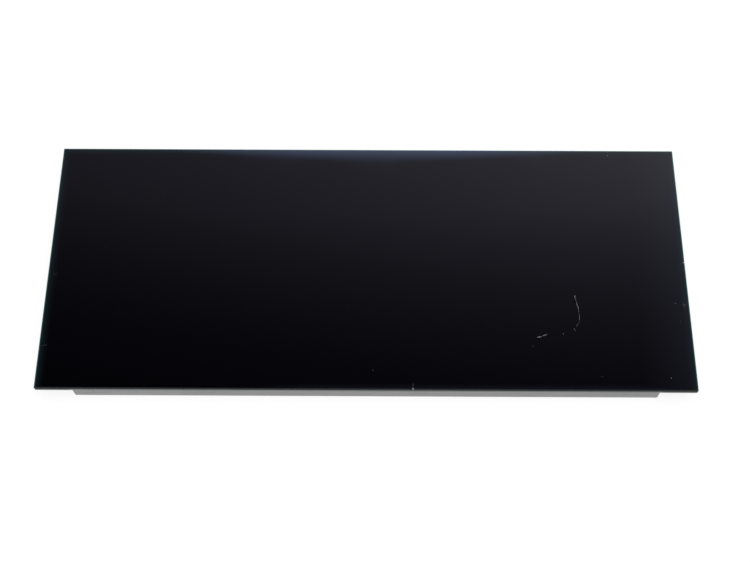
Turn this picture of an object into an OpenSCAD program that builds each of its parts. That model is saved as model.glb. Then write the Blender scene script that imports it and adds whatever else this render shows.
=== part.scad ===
// Ultra-wide LCD panel. A printed cover glass is bonded to a liquid crystal cell, and a
// die-cast housing behind it carries the edge-lit backlight and the driver board.
// The picture faces +Z, its top edge is towards +Y, and the housing's rear rim lies on Z = 0.

/* [Picture and cell] */
// Width of the active picture area
active_w = 292; // [240:1:320]
// Height of the active picture area
active_h = 109.5; // [96:0.5:130]
// Cell glass past the picture at the sides and the top
seal_border = 2.2; // [2:0.1:3]
// Colour filter glass past the picture at the bottom
seal_bottom = 2.4; // [2:0.1:3]
// Array glass past the colour filter at the bottom, where the driver chips sit
ledge = 6.5; // [6:0.1:8]
// Thickness of each of the two cell glasses
cell_glass_t = 0.5; // [0.4:0.05:0.7]
// Thickness of each polarizer
polarizer_t = 0.2; // [0.1:0.01:0.25]
// Polarizers past the picture on every side
polarizer_margin = 0.8; // [0.6:0.05:0.9]
// Thickness of the clear adhesive between cell and cover glass
bond_t = 0.5; // [0.2:0.05:0.8]
// Length of a driver chip
driver_chip_l = 30; // [20:1:36]
// Width of a driver chip
driver_chip_w = 1.4; // [1:0.1:2]
// Height of a driver chip
driver_chip_t = 0.4; // [0.3:0.05:0.5]

/* [Cover glass] */
// Thickness of the cover glass
glass_t = 4; // [3:0.1:5]
// Cover glass past the housing at the left and right
side_overhang = 18.6; // [10:0.1:30]
// Cover glass past the housing at the top and bottom
edge_overhang = 0.5; // [0.2:0.1:6]
// Radius of the cover glass's corners
glass_corner_r = 0.6; // [0.6:0.1:6]
// Ground chamfer along the cover glass's edges
glass_chamfer = 0.3; // [0.2:0.05:0.5]
// Clear rim between the glass's edge and the black print
print_setback = 0.5; // [0.5:0.1:1.5]
// Thickness of the black print
print_t = 0.05; // [0.03:0.01:0.1]
// Clear window in the print, past the picture on every side
window_margin = 0.4; // [0.2:0.05:0.5]

/* [Backlight] */
// Thickness of the light guide
guide_t = 1.6; // [1.4:0.1:3]
// Light guide past the picture at the sides and the top
guide_margin = 0.7; // [0.5:0.05:0.8]
// Light guide past the picture on the side where the light comes in
guide_mixing = 2.6; // [2.4:0.1:3.4]
// Thickness of the reflector sheet
reflector_t = 0.15; // [0.1:0.01:0.25]
// Thickness of the diffuser sheet
diffuser_t = 0.2; // [0.1:0.01:0.3]
// Thickness of each prism sheet
prism_t = 0.15; // [0.1:0.01:0.25]
// Width of the locating ears on the sheets and the guide
ear_w = 8; // [5:0.5:12]
// Depth of the locating ears
ear_d = 0.9; // [0.6:0.1:1]
// Distance between the two ears
ear_spacing = 180; // [120:2:220]
// Number of light-emitting diodes
led_count = 36; // [20:1:48]
// Width of a diode
led_w = 3.8; // [3:0.1:4.4]
// Depth of a diode
led_d = 0.9; // [0.6:0.1:1.2]
// Height of a diode
led_h = 1.1; // [0.8:0.1:1.2]
// Thickness of the diodes' flexible circuit
led_flex_t = 0.15; // [0.1:0.01:0.15]
// Width of the tail that joins the diodes to the board
led_tail_w = 9; // [6:0.5:12]
// Place of that tail, to the right of the centre
led_tail_x = 92; // [86:1:96]

/* [Middle frame] */
// Thickness of the frame's upstanding wall
frame_wall = 1.2; // [0.8:0.1:1.6]
// Gap between the cell and the frame
cell_gap = 0.4; // [0.2:0.05:0.6]
// Gap between the light guide and the frame
guide_gap = 0.3; // [0.2:0.05:0.4]
// Thickness of the tape between frame and cell
cell_tape_t = 0.3; // [0.26:0.01:0.5]
// Frame over the edge of the light guide where the light comes in
roof_lap = 0.5; // [0.3:0.05:0.7]

/* [Housing] */
// Thickness of the housing's outer wall
wall_t = 2.4; // [1.8:0.1:3.5]
// Thickness of the housing's floor
floor_t = 1; // [0.8:0.05:2]
// Gap between the middle frame and the housing at the sides
side_gap = 1.2; // [0.3:0.05:2]
// Room between the middle frame and the housing at the top
top_room = 7.3; // [6.6:0.1:9]
// Room between the middle frame and the housing at the bottom
bottom_room = 6.6; // [6:0.1:9]
// Radius of the housing's corners
housing_corner_r = 1; // [0.7:0.1:2]
// Chamfer round the rear rim
rim_chamfer = 0.4; // [0.2:0.05:0.6]
// Thickness of the tape between housing and cover glass
glass_tape_t = 0.3; // [0.2:0.05:0.6]
// Width of the tape between housing and cover glass
glass_tape_w = 2; // [1.2:0.1:2]
// Thickness of a cast rib at its tip
rib_tip = 1; // [0.8:0.1:1.4]
// Thickness of a cast rib at its root
rib_root = 1.6; // [1.4:0.1:2.2]
// How far the ribs stay behind the rear rim
rib_inset = 0.8; // [0.5:0.1:1.5]
// Number of upright ribs above the board bay
rib_count = 9; // [3:2:13]
// Number of cross ribs above the board bay
cross_rib_count = 2; // [1:1:3]

/* [Mounting bosses] */
// Radius of the tap-drill hole in a mounting boss
mount_hole_r = 1.25; // [1:0.05:1.5]
// Depth of the tap-drill hole
mount_hole_depth = 5.5; // [4:0.5:6]
// Radius of a mounting boss
mount_boss_r = 3.05; // [2.6:0.05:3.05]
// Closed end of a mounting boss past its hole
mount_boss_end = 0.8; // [0.6:0.1:1]
// Mounting boss axis from the housing's side faces
mount_inset_x = 13.4; // [10:0.1:20]
// Mounting boss axis from the housing's top and bottom faces
mount_inset_y = 5.25; // [5:0.05:5.3]

/* [Driver board] */
// Length of the driver board
board_l = 224; // [214:1:232]
// Width of the driver board
board_h = 48; // [44:1:60]
// Thickness of the driver board
board_t = 0.8; // [0.6:0.1:1.6]
// Thickness of the adhesive pads behind the board
pad_t = 0.2; // [0.1:0.05:0.5]
// Room for components between board and cover
board_room = 1.8; // [1.7:0.05:3]
// Radius of the pegs that locate the board
peg_r = 1.2; // [1:0.1:1.5]
// Gap round a peg in its hole
peg_gap = 0.15; // [0.1:0.05:0.3]
// Peg axis from the board's ends
peg_inset = 5; // [3:0.5:7]
// Length of the signal connector
connector_l = 24; // [18:1:28]
// Depth of the signal connector
connector_d = 5; // [4.5:0.1:6]
// Height of the signal connector
connector_t = 1.55; // [1.4:0.05:1.6]
// Place of the signal connector, to the left of the centre
connector_x = 38; // [24:1:44]
// Signal connector's mouth from the board's top edge
connector_inset = 5; // [4:0.5:7]
// Number of contacts in the signal connector
contact_count = 30; // [20:1:34]

/* [Board components] */
// Side of the timing chip
chip_w = 16; // [12:1:18]
// Height of the timing chip
chip_t = 1.2; // [0.8:0.1:1.4]
// Centre of the timing chip, to the right of the centre
chip_x = 20; // [14:1:24]
// Centre of the timing chip from the board's bottom edge
chip_y = 24; // [20:1:28]
// Width of the memory chip
memory_w = 6; // [5:0.5:8]
// Height of the memory chip, towards the board's top edge
memory_h = 5; // [4:0.5:7]
// Thickness of the memory chip
memory_t = 0.8; // [0.6:0.1:1]
// Memory chip from the timing chip, centre to centre
memory_offset = 22; // [18:1:24]
// Side of the diodes' driver chip
led_driver_w = 7; // [5:0.5:9]
// Height of the diodes' driver chip
led_driver_t = 0.9; // [0.7:0.1:1.2]
// Diodes' driver chip and coils from the diodes' tail, centre to centre
led_driver_offset = 14; // [14:1:16]
// Diameter of a power coil's flanges, measured across the flats
coil_w = 7; // [5:0.5:8]
// Height of a power coil
coil_t = 1.5; // [1.2:0.1:1.6]
// Distance between the two coils
coil_spacing = 12; // [10:1:14]
// Length of a capacitor
capacitor_l = 3.2; // [2:0.1:3.4]
// Width of a capacitor
capacitor_w = 1.6; // [1.2:0.1:2]
// Height of a capacitor
capacitor_t = 1; // [0.7:0.1:1.4]
// Distance between neighbouring capacitors
capacitor_pitch = 4; // [3.6:0.1:5]
// Length of the pads that hold the board, across the board
pad_h = 30; // [20:1:34]
// Gap between two pads
pad_gap = 4; // [2:0.5:8]

/* [Panel flexes] */
// Width of a panel flex
flex_w = 40; // [30:1:46]
// Thickness of a panel flex
flex_t = 0.2; // [0.1:0.05:0.25]
// Radius inside the bends of a panel flex
flex_bend_r = 0.8; // [0.5:0.05:0.85]
// Distance between the centres of the two panel flexes
flex_spacing = 120; // [110:2:130]
// Length of a flex bonded to glass or board
flex_bond = 1.8; // [1.2:0.1:2.2]

/* [Rear cover] */
// Thickness of the rear cover's sheet
cover_t = 0.5; // [0.3:0.05:0.8]
// How far the rear cover stays behind the rear rim
cover_inset = 0.3; // [0.25:0.05:0.6]
// Rear cover resting on the housing's wall
cover_lap = 1.2; // [0.8:0.1:1.4]
// Depth of the screw dimples
dimple_depth = 0.7; // [0.6:0.05:0.8]
// Radius of the screw dimples
dimple_r = 2.7; // [2.4:0.1:2.8]
// Radius of a cover screw's head
head_r = 1.9; // [1.6:0.1:2]
// Height of a cover screw's head
head_t = 0.6; // [0.4:0.05:0.8]
// Radius of a cover screw's shank
shank_r = 0.95; // [0.7:0.05:1]
// Length of a cover screw's shank
shank_l = 2.4; // [1.5:0.1:2.5]
// Radius of a bead pressed into the rear cover
bead_r = 4; // [2:0.5:5]
// Height of the beads
bead_rise = 0.2; // [0.1:0.05:0.2]
// Length of a bead
bead_l = 56; // [40:1:66]
// Distance between the beads of a row
bead_spacing = 80; // [76:1:82]

/* [Hidden] */
$fn = 48;
eps = 0.01;

// Small clearances and margins that several pieces share
film_gap = 0.1;         // top sheet to cell tape
sheet_gap = 0.2;        // sheets to frame, inside the guide's own gap
ear_gap = 0.3;          // ear to its notch
tape_edge_gap = 0.1;    // tape to the edges that it follows
led_gap = 0.1;          // diode to light guide
led_roof_gap = 0.05;    // light guide to frame roof
spacer_gap = 0.1;       // cast spacer to middle frame
bay_room = 7;           // board to bay wall, with room for the screw bosses
boss_set = 3.5;         // cover screw axis to bay wall
cover_boss_r = 2.8;
hole_gap = 0.05;        // screw shank to hole
cover_gap = 0.2;        // rear cover to the step that it lies in
flex_gap = 0.85;        // panel flex to middle frame
slot_gap = 1;           // flex to its slot, each way
connector_shell = 0.3;  // walls above and below the connector's mouth
connector_back = 1.2;   // wall behind the mouth, where the contacts are rooted
tail_bend_r = 0.4;
tail_gap = 0.3;         // diode tail to frame wall
tail_clear = 0.6;       // diode tail to board edge

// Heights, from the rear rim to the face of the glass
z_cover = cover_inset;
z_cover_in = z_cover + cover_t;
z_board = z_cover_in + board_room;
z_board_front = z_board + board_t;
z_floor = z_board_front + pad_t;
z_floor_front = z_floor + floor_t;
z_guide = z_floor_front + reflector_t;
z_guide_front = z_guide + guide_t;
z_diffuser_front = z_guide_front + diffuser_t;
z_prism_split = z_diffuser_front + prism_t;
z_prism_front = z_prism_split + prism_t;
z_cell_tape = z_prism_front + film_gap;
z_array = z_cell_tape + cell_tape_t;
z_array_front = z_array + cell_glass_t;
z_filter_front = z_array_front + cell_glass_t;
z_bond = z_filter_front + polarizer_t;
z_print = z_bond + bond_t;
z_glass = z_print + print_t;
z_wall_end = z_print - glass_tape_t;
z_frame_front = z_array_front - film_gap;

// Plan sizes, from the picture outwards
array_w = active_w + 2 * seal_border;
frame_w = array_w + 2 * (cell_gap + frame_wall);
housing_w = frame_w + 2 * (side_gap + wall_t);
glass_w = housing_w + 2 * side_overhang;
array_h = active_h + seal_border + seal_bottom + ledge;
frame_h = array_h + 2 * (cell_gap + frame_wall);
housing_h = frame_h + top_room + bottom_room + 2 * wall_t;
glass_h = housing_h + 2 * edge_overhang;
guide_w = active_w + 2 * guide_margin;

// Places along Y, with the housing and the glass centred on Y = 0
y_inner_bottom = -housing_h / 2 + wall_t;
y_inner_top = housing_h / 2 - wall_t;
y_frame_bottom = y_inner_bottom + bottom_room;
y_frame_top = y_frame_bottom + frame_h;
y_array_bottom = y_frame_bottom + frame_wall + cell_gap;
y_array_top = y_array_bottom + array_h;
y_filter_bottom = y_array_bottom + ledge;
y_active_bottom = y_filter_bottom + seal_bottom;
y_active_top = y_active_bottom + active_h;
y_guide_bottom = y_active_bottom - guide_mixing;
y_guide_top = y_active_top + guide_margin;
y_roof_edge = y_guide_bottom + roof_lap;
y_tail = y_frame_bottom + frame_wall + tail_gap + led_flex_t;
y_board_bottom = y_tail + tail_clear;
y_board_top = y_board_bottom + board_h;
y_bay_top = y_board_top + bay_room;
y_flex = y_frame_bottom - flex_gap;

connector_top = y_board_top - connector_inset;
chip_at = [chip_x, y_board_bottom + chip_y];
led_driver_at = [led_tail_x - led_driver_offset, y_board_bottom + chip_y * 2 / 3];

bay_half = board_l / 2 + bay_room;
y_mount = housing_h / 2 - mount_inset_y;
x_mount = housing_w / 2 - mount_inset_x;
flex_xs = [-flex_spacing / 2, flex_spacing / 2];
driver_chip_xs = [-flex_spacing * 3 / 4, 0, flex_spacing * 3 / 4];
boss_x = bay_half - boss_set;
cover_screws_at = concat(
    [for (x = [-1, -0.5, 0, 0.5, 1]) [x * boss_x, y_bay_top - boss_set]],
    [for (x = [-1, 0, 1]) [x * boss_x, y_inner_bottom + boss_set]]
);

// Shapes that several pieces share

// A box between two corners
module block(low, high) {
    translate(low) cube(high - low);
}

// A flat rectangle between two corners
module field(low, high) {
    translate(low) square(high - low);
}

// A flat rectangle with round corners, centred on the origin
module rounded(w, h, r) {
    square([w - 2 * r, h], center = true);
    square([w, h - 2 * r], center = true);
    for (x = [-1, 1], y = [-1, 1])
        translate([x * (w / 2 - r), y * (h / 2 - r)]) circle(r);
}

// A slab's cross-section with its lower and upper edges chamfered
module chamfered_section(w, t, low, high) {
    polygon([
        [-w / 2 + low, 0], [w / 2 - low, 0], [w / 2, low], [w / 2, t - high],
        [w / 2 - high, t], [-w / 2 + high, t], [-w / 2, t - high], [-w / 2, low]
    ]);
}

// A slab with round corners and chamfered edges, standing on z = 0
module chamfered_slab(w, h, t, r, low, high) {
    intersection() {
        linear_extrude(t) rounded(w, h, r);
        translate([0, h / 2 + eps, 0]) rotate([90, 0, 0])
            linear_extrude(h + 2 * eps) chamfered_section(w, t, low, high);
        translate([-w / 2 - eps, 0, 0]) rotate([90, 0, 90])
            linear_extrude(w + 2 * eps) chamfered_section(h, t, low, high);
    }
}

// The picture's rectangle grown by a margin on every side
module picture(margin) {
    field([-active_w / 2 - margin, y_active_bottom - margin],
          [active_w / 2 + margin, y_active_top + margin]);
}

// The outline that the light guide and the sheets share, with its two locating ears
module guide_outline(inset, bottom) {
    field([-guide_w / 2 + inset, bottom], [guide_w / 2 - inset, y_guide_top - inset]);
    for (x = [-1, 1])
        translate([x * ear_spacing / 2, y_guide_top - inset])
            translate([-ear_w / 2 + inset, -1]) square([ear_w - 2 * inset, ear_d + 1]);
}

// One sheet of the backlight's stack
module sheet(z, t) {
    translate([0, 0, z]) linear_extrude(t) guide_outline(sheet_gap, y_roof_edge + sheet_gap);
}

// A quarter of a ring in the -x half, above or below its centre
module quarter_ring(r, t, up) {
    intersection() {
        difference() {
            circle(r + t);
            circle(r);
        }
        translate([-r - t, up ? 0 : -r - t]) square(r + t);
    }
}

// A flexible circuit's section, in Y and Z. It runs towards -Y at the front, drops past y_face
// and comes back underneath. z_over is its lower face at the front, z_under its upper face behind.
module wrap_section(t, r, y_face, y_front_end, y_rear_end, z_over, z_under) {
    y_bend = y_face + r;
    field([y_bend, z_over], [y_front_end, z_over + t]);
    translate([y_bend, z_over - r]) quarter_ring(r, t, true);
    field([y_face - t, z_under + r], [y_face, z_over - r]);
    translate([y_bend, z_under + r]) quarter_ring(r, t, false);
    field([y_bend, z_under - t], [y_rear_end, z_under]);
}

// Turns a section in Y and Z into a solid of width w, centred on x
module along_x(x, w) {
    translate([x - w / 2, 0, 0]) rotate([90, 0, 90]) linear_extrude(w) children();
}

// A component that stands on the rear of the board, centred on x and y
module component(x, y, w, h, t) {
    block([x - w / 2, y - h / 2, z_board - t], [x + w / 2, y + h / 2, z_board]);
}

// Cover glass and what is laminated behind it

module cover_glass() {
    color([0.55, 0.75, 0.75, 0.4]) translate([0, 0, z_glass])
        chamfered_slab(glass_w, glass_h, glass_t, glass_corner_r, glass_chamfer, glass_chamfer);
}

module black_border() {
    color([0.02, 0.02, 0.025]) translate([0, 0, z_print]) linear_extrude(print_t)
        difference() {
            rounded(glass_w - 2 * print_setback, glass_h - 2 * print_setback,
                    max(glass_corner_r - print_setback, 0.3));
            picture(window_margin);
        }
}

module bonding_layer() {
    color([0.8, 0.85, 0.9, 0.5]) {
        translate([0, 0, z_bond]) linear_extrude(bond_t) picture(polarizer_margin);
        translate([0, 0, z_bond]) linear_extrude(bond_t + print_t) picture(window_margin);
    }
}

module front_polarizer() {
    color([0.05, 0.05, 0.06]) translate([0, 0, z_filter_front])
        linear_extrude(polarizer_t) picture(polarizer_margin);
}

module colour_filter_glass() {
    color([0.1, 0.12, 0.14]) block(
        [-array_w / 2, y_filter_bottom, z_array_front],
        [array_w / 2, y_array_top, z_filter_front]
    );
}

module array_glass() {
    color([0.3, 0.35, 0.38]) block(
        [-array_w / 2, y_array_bottom, z_array],
        [array_w / 2, y_array_top, z_array_front]
    );
}

module driver_chips() {
    y_chip = y_array_bottom + flex_bond + (ledge - flex_bond) / 2;
    color([0.15, 0.15, 0.17]) for (x = driver_chip_xs)
        block([x - driver_chip_l / 2, y_chip - driver_chip_w / 2, z_array_front],
              [x + driver_chip_l / 2, y_chip + driver_chip_w / 2, z_array_front + driver_chip_t]);
}

module rear_polarizer() {
    color([0.2, 0.2, 0.22]) translate([0, 0, z_array - polarizer_t])
        linear_extrude(polarizer_t) picture(polarizer_margin);
}

module cell_tape() {
    inner_x = guide_w / 2 + guide_gap + tape_edge_gap;
    color([0.08, 0.08, 0.08]) translate([0, 0, z_cell_tape]) linear_extrude(cell_tape_t)
        difference() {
            field([-array_w / 2 + tape_edge_gap, y_array_bottom + tape_edge_gap],
                  [array_w / 2 - tape_edge_gap, y_array_top - tape_edge_gap]);
            field([-inner_x, y_roof_edge - tape_edge_gap],
                  [inner_x, y_guide_top + guide_gap + tape_edge_gap]);
            for (x = [-1, 1])
                translate([x * ear_spacing / 2, y_array_top])
                    square([ear_w + 4 * ear_gap, 2 * seal_border], center = true);
        }
}

// Backlight

module upper_prism_film() {
    color([0.9, 0.92, 0.95]) sheet(z_prism_split, prism_t);
}

module lower_prism_film() {
    color([0.86, 0.9, 0.94]) sheet(z_diffuser_front, prism_t);
}

module diffuser_film() {
    color([0.95, 0.95, 0.95]) sheet(z_guide_front, diffuser_t);
}

module light_guide() {
    color([0.85, 0.93, 0.98]) translate([0, 0, z_guide])
        linear_extrude(guide_t) guide_outline(0, y_guide_bottom);
}

module reflector_film() {
    color([0.98, 0.98, 0.98]) translate([0, 0, z_floor_front])
        linear_extrude(reflector_t) guide_outline(0, y_guide_bottom);
}

module led_flex() {
    y_fold = y_tail + tail_bend_r;
    color([0.85, 0.65, 0.2]) {
        block([-guide_w / 2, y_fold, z_floor_front],
              [guide_w / 2, y_guide_bottom - led_gap, z_floor_front + led_flex_t]);
        along_x(led_tail_x, led_tail_w)
            wrap_section(led_flex_t, tail_bend_r, y_tail, y_fold + 1,
                         y_board_bottom + flex_bond, z_floor_front, z_board);
    }
}

// Each diode is a body with a raised phosphor window towards the light guide
module leds() {
    window = 0.1;
    rim = 0.2;
    pitch = (guide_w - 2 * led_w) / (led_count - 1);
    y_led = y_guide_bottom - led_gap;
    z_led = z_floor_front + led_flex_t;
    color([0.95, 0.9, 0.6]) for (i = [0 : led_count - 1])
        translate([-guide_w / 2 + led_w + i * pitch, y_led, z_led]) {
            block([-led_w / 2, -led_d, 0], [led_w / 2, -window, led_h]);
            block([-led_w / 2 + rim, -led_d / 2, rim], [led_w / 2 - rim, 0, led_h - rim]);
        }
}

// Moulded frame. Its pocket locates the cell, its window holds the guide and the sheets, and
// its roof covers the row of diodes.
module middle_frame() {
    window_half = guide_w / 2 + guide_gap;
    window_top = y_guide_top + guide_gap;
    color([0.93, 0.93, 0.92]) difference() {
        block([-frame_w / 2, y_frame_bottom, z_floor_front],
              [frame_w / 2, y_frame_top, z_frame_front]);
        // pocket for the cell
        block([-array_w / 2 - cell_gap, y_array_bottom - cell_gap, z_cell_tape],
              [array_w / 2 + cell_gap, y_array_top + cell_gap, z_frame_front + 1]);
        // window for the guide and the sheets
        block([-window_half, y_roof_edge, z_floor_front - 1],
              [window_half, window_top, z_cell_tape + 1]);
        // room for the diodes under the roof
        block([-window_half, y_frame_bottom + frame_wall, z_floor_front - 1],
              [window_half, y_roof_edge + 1, z_guide_front + led_roof_gap]);
        // notches for the ears
        for (x = [-1, 1])
            translate([x * ear_spacing / 2, 0, 0])
                block([-ear_w / 2 - ear_gap, window_top - 1, z_floor_front - 1],
                      [ear_w / 2 + ear_gap, y_guide_top + ear_d + ear_gap, z_cell_tape + 1]);
    }
}

// Housing

// Upright rib behind the floor, with the draft that lets it leave the mould
module rib_section() {
    depth = z_floor - rib_inset;
    polygon([
        [-rib_root / 2, 0], [-rib_tip / 2, -depth],
        [rib_tip / 2, -depth], [rib_root / 2, 0]
    ]);
}

module rib_along_y(x, y0, y1) {
    translate([x, y1, z_floor]) rotate([90, 0, 0]) linear_extrude(y1 - y0) rib_section();
}

module rib_along_x(y, x0, x1) {
    translate([x0, y, z_floor]) rotate([90, 0, 90]) linear_extrude(x1 - x0) rib_section();
}

// The lattice of ribs behind the floor, outside the board bay
module ribs() {
    bay_edge = bay_half + cover_lap;
    x_end = housing_w / 2 - wall_t / 2;
    y_end = y_inner_top + wall_t / 2;
    y_start = y_bay_top + cover_lap / 2;
    cross_pitch = (y_inner_top - y_bay_top) / (cross_rib_count + 1);
    for (i = [0 : rib_count - 1])
        rib_along_y(-bay_half + i * 2 * bay_half / (rib_count - 1), y_start, y_end);
    for (i = [1 : cross_rib_count])
        rib_along_x(y_bay_top + i * cross_pitch, -x_end, x_end);
    for (side = [-1, 1], y = [y_bay_top, (y_bay_top + y_inner_bottom) / 2])
        rib_along_x(y, side > 0 ? bay_edge - cover_lap / 2 : -x_end,
                    side > 0 ? x_end : -bay_edge + cover_lap / 2);
}

// Wall round the board bay, up to the rear cover's inside. The housing's own wall closes it.
module bay_wall() {
    difference() {
        block([-bay_half - cover_lap, y_inner_bottom - wall_t / 2, z_cover_in],
              [bay_half + cover_lap, y_bay_top + cover_lap, z_floor + eps]);
        block([-bay_half, y_inner_bottom, z_cover_in - 1], [bay_half, y_bay_top, z_floor + 1]);
    }
}

// Low ribs in front of the floor that centre the middle frame between the walls
module frame_spacers() {
    rib = 1.6;
    rise = 1.8;
    pitch = x_mount / 4;
    for (i = [-3 : 3], top = [true, false]) {
        x = i * pitch;
        near_flex = abs(abs(x) - flex_spacing / 2) < flex_w / 2 + slot_gap + rib;
        if (top || !near_flex)
            block([x - rib / 2, top ? y_frame_top + spacer_gap : y_inner_bottom - eps, z_floor],
                  [x + rib / 2, top ? y_inner_top + eps : y_frame_bottom - spacer_gap,
                   z_floor_front + rise]);
    }
}

module mount_bosses() {
    for (x = [-1, 1], y = [-1, 1])
        translate([x * x_mount, y * y_mount, 0])
            cylinder(r = mount_boss_r, h = mount_hole_depth + mount_boss_end);
}

module cover_bosses() {
    for (at = cover_screws_at)
        translate([at.x, at.y, z_cover_in + dimple_depth])
            cylinder(r = cover_boss_r, h = z_floor - z_cover_in - dimple_depth + eps);
}

module board_pegs() {
    for (x = [-1, 1])
        translate([x * (board_l / 2 - peg_inset), y_board_bottom + board_h / 2, z_board - 0.4])
            cylinder(r = peg_r, h = z_floor - z_board + 0.4 + eps);
}

// Slots in the floor for the two panel flexes and for the diodes' tail
module flex_slots() {
    for (x = flex_xs)
        block([x - flex_w / 2 - slot_gap, y_flex - flex_t - slot_gap, z_floor - 1],
              [x + flex_w / 2 + slot_gap, y_frame_bottom, z_floor_front + 1]);
    block([led_tail_x - led_tail_w / 2 - slot_gap / 2, y_tail - led_flex_t - tail_gap / 2,
           z_floor - 1],
          [led_tail_x + led_tail_w / 2 + slot_gap / 2, y_tail + tail_bend_r, z_floor_front + 1]);
}

// Marks that the ejector pins leave between the ribs
module ejector_marks() {
    mark_r = 2.5;
    mark_depth = 0.15;
    step = 2 * bay_half / (rib_count - 1);
    cross_pitch = (y_inner_top - y_bay_top) / (cross_rib_count + 1);
    for (i = [0 : rib_count - 2], j = [0 : cross_rib_count])
        translate([-bay_half + (i + 0.5) * step, y_bay_top + (j + 0.5) * cross_pitch,
                   z_floor - eps])
            cylinder(r = mark_r, h = mark_depth + eps);
}

module housing_cavities() {
    inner_r = max(housing_corner_r - wall_t, 0.5);
    translate([0, 0, z_floor_front]) linear_extrude(z_wall_end)
        rounded(housing_w - 2 * wall_t, housing_h - 2 * wall_t, inner_r);
    translate([0, 0, -1]) linear_extrude(z_floor + 1)
        rounded(housing_w - 2 * wall_t, housing_h - 2 * wall_t, inner_r);
}

module back_housing() {
    color([0.72, 0.73, 0.74]) difference() {
        union() {
            difference() {
                chamfered_slab(housing_w, housing_h, z_wall_end, housing_corner_r,
                               rim_chamfer, 0.1);
                housing_cavities();
            }
            ribs();
            bay_wall();
            frame_spacers();
            mount_bosses();
            cover_bosses();
            board_pegs();
        }
        // step in the rear rim that the rear cover lies in
        block([-bay_half - cover_lap - cover_gap, y_inner_bottom - cover_lap - cover_gap, -1],
              [bay_half + cover_lap + cover_gap, y_inner_bottom + 1, z_cover_in]);
        flex_slots();
        ejector_marks();
        for (x = [-1, 1], y = [-1, 1])
            translate([x * x_mount, y * y_mount, -1])
                cylinder(r = mount_hole_r, h = mount_hole_depth + 1);
        for (at = cover_screws_at)
            translate([at.x, at.y, z_cover_in])
                cylinder(r = shank_r + hole_gap, h = cover_t + shank_l);
    }
}

module glass_tape() {
    edge = (wall_t - glass_tape_w) / 2;
    outer_r = housing_corner_r - edge;
    color([0.06, 0.06, 0.06]) translate([0, 0, z_wall_end]) linear_extrude(glass_tape_t)
        difference() {
            rounded(housing_w - 2 * edge, housing_h - 2 * edge, outer_r);
            rounded(housing_w - 2 * (edge + glass_tape_w), housing_h - 2 * (edge + glass_tape_w),
                    max(outer_r - glass_tape_w, 0.5));
        }
}

// Flexes, driver board and what it carries

module panel_flex(x) {
    color([0.8, 0.5, 0.15]) along_x(x, flex_w)
        wrap_section(flex_t, flex_bend_r, y_flex, y_array_bottom + flex_bond,
                     y_board_bottom + flex_bond, z_array_front, z_board);
}

module panel_flex_left() {
    panel_flex(flex_xs[0]);
}

module panel_flex_right() {
    panel_flex(flex_xs[1]);
}

module driver_board() {
    color([0.08, 0.35, 0.2]) difference() {
        block([-board_l / 2, y_board_bottom, z_board],
              [board_l / 2, y_board_top, z_board_front]);
        for (x = [-1, 1])
            translate([x * (board_l / 2 - peg_inset), y_board_bottom + board_h / 2, z_board - 1])
                cylinder(r = peg_r + peg_gap, h = board_t + 2);
    }
}

// Adhesive pads that hold the board to the housing's floor
module board_pads() {
    pad_l = (board_l - 4 * peg_inset) / 3 - pad_gap;
    y_pad = y_board_bottom + (board_h - pad_h) / 2;
    color([0.75, 0.8, 0.85]) for (i = [-1 : 1])
        block([i * (pad_l + pad_gap) - pad_l / 2, y_pad, z_board_front],
              [i * (pad_l + pad_gap) + pad_l / 2, y_pad + pad_h, z_floor]);
}

module timing_chip() {
    color([0.12, 0.12, 0.13]) component(chip_at.x, chip_at.y, chip_w, chip_w, chip_t);
}

module memory_chip() {
    color([0.12, 0.12, 0.13])
        component(chip_at.x + memory_offset, chip_at.y + memory_h / 2,
                  memory_w, memory_h, memory_t);
}

module led_driver_chip() {
    color([0.12, 0.12, 0.13])
        component(led_driver_at.x, led_driver_at.y, led_driver_w, led_driver_w, led_driver_t);
}

// Wound cores between square flanges
module power_coils() {
    flange_t = 0.2;
    core_r = coil_w / 2 - 3 * flange_t;
    y_coil = led_driver_at.y + 2 * led_driver_w;
    color([0.3, 0.3, 0.32]) for (i = [-1, 1])
        translate([led_driver_at.x + i * coil_spacing / 2, y_coil, z_board - coil_t]) {
            linear_extrude(flange_t) square(coil_w, center = true);
            cylinder(r = core_r, h = coil_t);
            translate([0, 0, coil_t - flange_t])
                linear_extrude(flange_t) square(coil_w, center = true);
        }
}

// A column beside each chip and a row near the board's left end
module capacitors() {
    beside_chip = chip_at.x - chip_w / 2 - 3 * capacitor_l;
    beside_led_driver = led_driver_at.x - led_driver_w / 2 - 3 * capacitor_l;
    row_start = -board_l / 2 + 3 * peg_inset;
    color([0.6, 0.5, 0.38]) {
        for (i = [0 : 5])
            component(beside_chip, chip_at.y + (i - 2.5) * capacitor_pitch,
                      capacitor_l, capacitor_w, capacitor_t);
        for (i = [0 : 5])
            component(row_start + i * capacitor_pitch, y_board_bottom + chip_y / 2,
                      capacitor_w, capacitor_l, capacitor_t);
        for (i = [0 : 3])
            component(beside_led_driver, led_driver_at.y + (i - 0.5) * capacitor_pitch,
                      capacitor_l, capacitor_w, capacitor_t);
    }
}

// Low socket with a wide shallow mouth towards the board's top edge, and two mounting feet
module signal_connector() {
    mouth_depth = connector_d - connector_back;
    foot = 1.2;
    z_low = z_board - connector_t;
    color([0.9, 0.88, 0.82]) difference() {
        union() {
            block([-connector_x - connector_l / 2, connector_top - connector_d, z_low],
                  [-connector_x + connector_l / 2, connector_top, z_board]);
            block([-connector_x - connector_l / 2 - foot, connector_top - 3, z_board - 0.5],
                  [-connector_x + connector_l / 2 + foot, connector_top - 1, z_board]);
        }
        block([-connector_x - connector_l / 2 + 1, connector_top - mouth_depth,
               z_low + connector_shell],
              [-connector_x + connector_l / 2 - 1, connector_top + 1,
               z_board - connector_shell]);
    }
}

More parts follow.
